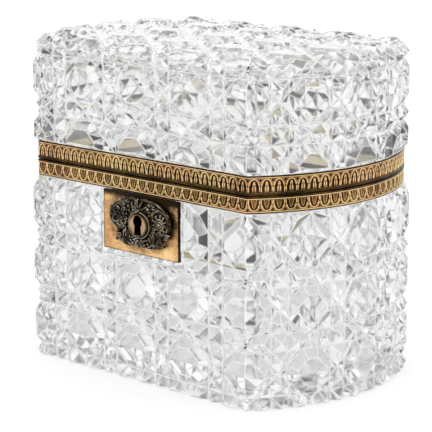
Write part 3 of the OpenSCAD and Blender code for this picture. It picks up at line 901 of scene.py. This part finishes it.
# ---------------------------------------------------------------- metal looks
def metal_material(name, stops, roughness, scale=300, tone=False, bump=0.15, edges=0.0, dirt_and_shade=None,
                   speckle=0.3, grain=(1, 1, 1), slant=0.0, drift=()):
    """Old metal: colour by patina noise, by the tone of the relief, by lighter edges that are partly wear and
    partly painted highlight, and by dirt and painted shade.

    grain stretches the fine noise into strokes at a slant, and drift holds two tints that the colour wanders
    between over the object.
    """
    mat, tree, bsdf = new_material(name)
    links = tree.links
    place = object_place(tree)
    strokes = tree.nodes.new("ShaderNodeMapping")
    strokes.inputs["Rotation"].default_value = (0, slant, 0)
    strokes.inputs["Scale"].default_value = grain
    links.new(place, strokes.inputs["Vector"])
    coarse = noise(tree, place, scale * 0.25, 3)
    fine = noise(tree, strokes.outputs["Vector"], scale * 3, 4)
    if tone:
        height = tree.nodes.new("ShaderNodeAttribute")
        height.attribute_name = "tone"
        value = total(tree, maths(tree, "MULTIPLY", height.outputs["Fac"], 0.85), swing(tree, coarse, 0.6))
    else:
        value = maths(tree, "ADD", swing(tree, coarse, 0.7), 0.5)
    value = total(tree, value, swing(tree, fine, speckle))
    if edges:
        # Lighter ridges: partly wear, partly painted highlight
        ridge_wear_and_highlight = tree.nodes.new("ShaderNodeNewGeometry").outputs["Pointiness"]
        value = total(tree, value, swing(tree, ridge_wear_and_highlight, edges))
    # Dirt and painted shade taken off the colour
    if dirt_and_shade:
        value = maths(tree, "SUBTRACT", value, dirt_and_shade(tree, place))
    colour = ramp(tree, value, stops)
    if drift:
        mix = tree.nodes.new("ShaderNodeMixRGB")
        mix.blend_type = "MULTIPLY"
        mix.inputs["Fac"].default_value = 1
        links.new(colour, mix.inputs["Color1"])
        tints = ramp(tree, noise(tree, place, 55, 2), [(0.38, drift[0]), (0.62, drift[1])])
        links.new(tints, mix.inputs["Color2"])
        colour = mix.outputs["Color"]
    links.new(colour, bsdf.inputs["Base Color"])
    bsdf.inputs["Metallic"].default_value = 1.0
    rough = maths(tree, "ADD", maths(tree, "MULTIPLY", fine, 0.2), roughness - 0.1)
    links.new(rough, bsdf.inputs["Roughness"])
    bump_node = tree.nodes.new("ShaderNodeBump")
    bump_node.inputs["Strength"].default_value = bump
    bump_node.inputs["Distance"].default_value = 0.0002
    links.new(fine, bump_node.inputs["Height"])
    links.new(bump_node.outputs["Normal"], bsdf.inputs["Normal"])
    return mat


def case_painted_shade(tree, place):
    """Painted shade: black inside the lock's case."""
    wall = 0.6
    low = (CASE_X0 + wall, FAR_FRONT, CASE_Z0 + wall)
    high = (CASE_X1 - wall, CASE_BACK + 0.2, RIM_LOW - 2)
    return inside(tree, place, low, high)


def collar_painted_shade(tree, place):
    """Painted shade: black in the keyhole, brown towards the rim of the collar's face."""
    x, _, z = axes(tree, place)
    across = maths(tree, "DIVIDE", maths(tree, "SUBTRACT", x, LOCK_X * MM), COLLAR_HALF[0] * MM)
    up = maths(tree, "DIVIDE", maths(tree, "SUBTRACT", z, LOCK_Z * MM), COLLAR_HALF[1] * MM)
    away = total(tree, maths(tree, "MULTIPLY", across, across), maths(tree, "MULTIPLY", up, up))
    rim = steps_up(tree, away, 0.6, 0.96, 0.42)
    low = (LOCK_X - 2.6, PLATE_FRONT - 1.9, LOCK_Z - 4)
    hole = inside(tree, place, low, (LOCK_X + 2.6, -30, LOCK_Z + 4))
    return total(tree, rim, hole)


def plate_dirt_and_shade(tree, place):
    """Darker round the casting and under the band, partly patina and partly painted shadow of the casting and
    the band; dirt up the right side and along the edges; painted shade, black, in the keyhole.
    """
    x, _, z = axes(tree, place)
    across = maths(tree, "DIVIDE", maths(tree, "SUBTRACT", x, LOCK_X * MM), 16.5 * MM)
    up = maths(tree, "DIVIDE", maths(tree, "SUBTRACT", z, (LOCK_Z + 0.6) * MM), 10.5 * MM)
    across, up = (maths(tree, "POWER", maths(tree, "ABSOLUTE", v), 2.6) for v in (across, up))
    # Dark halo round the casting: partly patina, partly the casting's painted shadow
    round_cast = steps_up(tree, total(tree, across, up), 1.3, 0.85, 0.2)
    # Darker under the band: a painted shadow strip just below it, and broader patina
    top = total(tree, steps_up(tree, z, (BODY_BAND_Z - 2.6) * MM, (BODY_BAND_Z - 0.9) * MM, 0.4),
                steps_up(tree, z, (BODY_BAND_Z - 12) * MM, (BODY_BAND_Z - 2) * MM, 0.14))
    lean = 0.6
    right = steps_up(tree, total(tree, x, maths(tree, "MULTIPLY", z, lean)),
                     (LOCK_X + 8 + lean * LOCK_Z) * MM, (LOCK_X + 18 + lean * LOCK_Z) * MM, 0.2)
    from_side = maths(tree, "MINIMUM", maths(tree, "SUBTRACT", x, PLATE_X0 * MM),
                      maths(tree, "SUBTRACT", PLATE_X1 * MM, x))
    from_edge = maths(tree, "MINIMUM", from_side, maths(tree, "SUBTRACT", z, PLATE_Z0 * MM))
    edge = steps_up(tree, from_edge, 0.5 * MM, 0.1 * MM, 0.36)
    # Painted shade: black in the keyhole
    hole = inside(tree, place, (LOCK_X - 4, PLATE_FRONT, LOCK_Z - 4), (LOCK_X + 4, -30, LOCK_Z + 4))
    return total(tree, round_cast, top, hole, right, edge)


DARK = (0.022, 0.013, 0.006)


def band_look():
    """Gilt brass, black between the leaves and bright on their ribs; darker at the seam and on the body
    band's tongues, partly as painted shade.
    """
    stops = [(0.08, DARK), (0.32, (0.18, 0.10, 0.038)), (0.52, (0.50, 0.305, 0.135)),
             (0.85, (1.0, 0.75, 0.44))]
    return metal_material("band_brass", stops, 0.36, tone=True, drift=((1.0, 0.90, 0.84), (0.97, 1.0, 0.86)))


def plate_look():
    """Scratched yellow brass with brown patches, dirt and painted shade."""
    stops = [(0.0, DARK), (0.2, (0.24, 0.145, 0.075)), (0.36, (0.70, 0.445, 0.21)), (0.5, (0.98, 0.66, 0.33)),
             (0.7, (1.0, 0.78, 0.46))]
    return metal_material("plate_brass", stops, 0.42, 420, dirt_and_shade=plate_dirt_and_shade, speckle=0.55,
                          grain=(0.55, 1, 1), slant=0.7, drift=((0.80, 0.70, 0.62), (1.0, 0.98, 0.92)))


def collar_look():
    """Pale brass, rubbed by the key, with painted shade at its rim and keyhole."""
    stops = [(0.0, DARK), (0.3, (0.25, 0.16, 0.08)), (0.4, (0.42, 0.28, 0.16)), (0.6, (0.60, 0.41, 0.25))]
    return metal_material("collar_brass", stops, 0.4, 500, dirt_and_shade=collar_painted_shade)


def casting_look():
    """Nearly black brass whose ridges are lighter, partly wear and partly painted highlight."""
    stops = [(0.35, (0.008, 0.006, 0.005)), (0.55, (0.03, 0.022, 0.015)), (0.7, (0.115, 0.09, 0.062)),
             (0.95, (0.58, 0.52, 0.42))]
    return metal_material("casting_brass", stops, 0.34, 900, bump=0.5, edges=7.0,
                          drift=((1.0, 0.93, 0.85), (0.9, 0.97, 0.95)))


def plain_brass_look():
    """Brushed brass of the hinge."""
    return metal_material("plain_brass", [(0.35, (0.40, 0.28, 0.13)), (0.6, (0.62, 0.45, 0.24))], 0.42,
                          grain=(0.12, 1, 1))


def tinned_look():
    """Tinned iron of the lock's case."""
    return metal_material("tinned", [(0.35, (0.62, 0.62, 0.61)), (0.6, (0.80, 0.80, 0.79))], 0.4)


def frame_look():
    """Pale gilding of the rim frames."""
    return metal_material("frame_brass", [(0.35, (0.76, 0.67, 0.46)), (0.6, (0.90, 0.82, 0.62))], 0.34)


def steel_look():
    """Grey steel, with painted shade, black, inside the case."""
    stops = [(0.0, (0.01, 0.01, 0.01)), (0.4, (0.20, 0.20, 0.20)), (0.6, (0.36, 0.36, 0.35))]
    return metal_material("steel", stops, 0.4, dirt_and_shade=case_painted_shade)


def dark_steel_look():
    """Steel behind the keyhole, painted near black as the keyhole's shade."""
    stops = [(0.4, (0.010, 0.010, 0.010)), (0.6, (0.022, 0.022, 0.021))]
    return metal_material("dark_steel", stops, 0.5)


def plaster_look():
    """Matt plaster bed under the bands."""
    mat, tree, bsdf = new_material("plaster")
    grain = noise(tree, object_place(tree), 900, 4)
    colour = ramp(tree, grain, [(0.3, (0.86, 0.85, 0.82)), (0.7, (0.94, 0.93, 0.91))])
    tree.links.new(colour, bsdf.inputs["Base Color"])
    bsdf.inputs["Roughness"].default_value = 0.9
    return mat


def dress():
    """Gives every piece and every CAD node its look."""
    slots = {"crystal": crystal_material(), "gilt_brass": band_look(), "plate_brass": plate_look(),
             "collar_brass": collar_look(), "dark_casting": casting_look(), "plain_brass": plain_brass_look(),
             "steel": steel_look(), "plaster": plaster_look()}
    frame_brass = frame_look()
    own = {"body_rim_frame": frame_brass, "lid_rim_frame": frame_brass, "lock_case": tinned_look(),
           "lock_case_cover": slots["steel"], "key_post": dark_steel_look()}
    for obj, slot in ((glass_body, "crystal"), (glass_lid, "crystal"), (body_band, "gilt_brass"),
                      (lid_band, "gilt_brass"), (casting, "dark_casting"), (plate, "plate_brass"),
                      (collar, "collar_brass")):
        put(obj, slots[slot])
    for part in frame["record"]["subparts"]:
        node = part["node"]
        put(NODES[node], own.get(node, slots[part["material_slot"]]))


dress()


# ---------------------------------------------------------------- stage
AIR_UNDER = 0.1
FLOOR_HALF = 6000
# The floor's albedo and glow as the camera sees it, as glass and metal see it, and as it lights the object
FLOOR_SEEN = (0.5, 0.58)
FLOOR_IN_GLASS = (0.42, 0.56)
FLOOR_LIGHT = (0.85, 0.0)
# The sky's shades: scale of its patches, the noise between which they turn, and their strengths
SKY_SCALE = 1.7
SKY_NOISE = (0.3, 0.4)
SKY_STRENGTH = (0.74, 1.13)


def ray_seen(tree, *kinds):
    """1 for the named kinds of ray, else 0."""
    path = tree.nodes.new("ShaderNodeLightPath")
    value = path.outputs[kinds[0]]
    for kind in kinds[1:]:
        value = maths(tree, "MAXIMUM", value, path.outputs[kind])
    return value


def choose(tree, switch, off, on):
    """One of two shaders, by a switch of 0 or 1."""
    mix = tree.nodes.new("ShaderNodeMixShader")
    tree.links.new(switch, mix.inputs["Fac"])
    tree.links.new(off, mix.inputs[1])
    tree.links.new(on, mix.inputs[2])
    return mix.outputs[0]


def glowing(tree, albedo, glow):
    """Matt grey that also glows."""
    diffuse = tree.nodes.new("ShaderNodeBsdfDiffuse")
    diffuse.inputs["Color"].default_value = (albedo, albedo, albedo, 1)
    emission = tree.nodes.new("ShaderNodeEmission")
    emission.inputs["Strength"].default_value = glow
    both = tree.nodes.new("ShaderNodeAddShader")
    tree.links.new(diffuse.outputs[0], both.inputs[0])
    tree.links.new(emission.outputs[0], both.inputs[1])
    return both.outputs[0]


def stage():
    """Pale floor: white with the object's shadow for the camera, pale grey through the glass.

    A hair of air lies under the glass, so that its base mirrors as it does on a table.
    """
    corners = [(x * FLOOR_HALF, y * FLOOR_HALF, -AIR_UNDER) for x, y in ((-1, -1), (1, -1), (1, 1), (-1, 1))]
    floor = link("floor", mesh_of("floor", corners, [(0, 1, 2, 3)]))
    mat, tree, bsdf = new_material("floor")
    tree.nodes.remove(bsdf)
    rest = choose(tree, ray_seen(tree, "Is Glossy Ray", "Is Transmission Ray"), glowing(tree, *FLOOR_LIGHT),
                  glowing(tree, *FLOOR_IN_GLASS))
    surface = choose(tree, ray_seen(tree, "Is Camera Ray"), rest, glowing(tree, *FLOOR_SEEN))
    tree.links.new(surface, tree.nodes["Material Output"].inputs["Surface"])
    put(floor, mat)


def world():
    """Soft studio: white for the camera, and round the object a pale sky with broad grey shades."""
    studio = bpy.data.worlds.new("studio")
    bpy.context.scene.world = studio
    studio.use_nodes = True
    tree = studio.node_tree
    tree.nodes.clear()
    out = tree.nodes.new("ShaderNodeOutputWorld")
    light, white = (tree.nodes.new("ShaderNodeBackground") for _ in range(2))
    for background in (light, white):
        background.inputs["Color"].default_value = (1, 1, 1, 1)
    direction = tree.nodes.new("ShaderNodeTexCoord").outputs["Generated"]
    shade = map_range(tree, noise(tree, direction, SKY_SCALE, 2, 0.5), *SKY_NOISE, *SKY_STRENGTH)
    tree.links.new(shade, light.inputs["Strength"])
    sky = choose(tree, ray_seen(tree, "Is Camera Ray"), light.outputs[0], white.outputs[0])
    tree.links.new(sky, out.inputs["Surface"])


def camera():
    """The photograph's view, from the fit of its rim, seam and base lines."""
    azimuth, elevation = math.radians(43.063), math.radians(10.413)
    distance = 0.7219
    # the focal length, the place of the seam's middle and the picture's side, in pixels
    focal, centre_px, side = 1902.76, (220.02, 160.44), 432
    sensor = 36
    back = Vector((math.sin(azimuth) * math.cos(elevation), -math.cos(azimuth) * math.cos(elevation),
                   math.sin(elevation)))
    right = Vector((math.cos(azimuth), math.sin(azimuth), 0))
    up = back.cross(right)
    look = right * ((side / 2 - centre_px[0]) / focal) + up * ((centre_px[1] - side / 2) / focal) - back
    data = bpy.data.cameras.new("camera")
    data.sensor_width = sensor
    data.lens = focal * sensor / side
    data.clip_start, data.clip_end = 0.01, 50
    cam = bpy.data.objects.new("camera", data)
    bpy.context.scene.collection.objects.link(cam)
    z_axis = -look.normalized()
    x_axis = up.cross(z_axis).normalized()
    y_axis = z_axis.cross(x_axis)
    turn = Matrix((x_axis, y_axis, z_axis)).transposed().to_4x4()
    cam.matrix_world = Matrix.Translation(back * distance + Vector((0, 0, SEAM_Z * MM))) @ turn
    bpy.context.scene.camera = cam


stage()
world()
camera()
scene = bpy.context.scene
scene.view_settings.view_transform = "Standard"
# enough for light to pass through both walls and their cuts
scene.cycles.max_bounces = 32
scene.cycles.transmission_bounces = 32
scene.cycles.glossy_bounces = 32
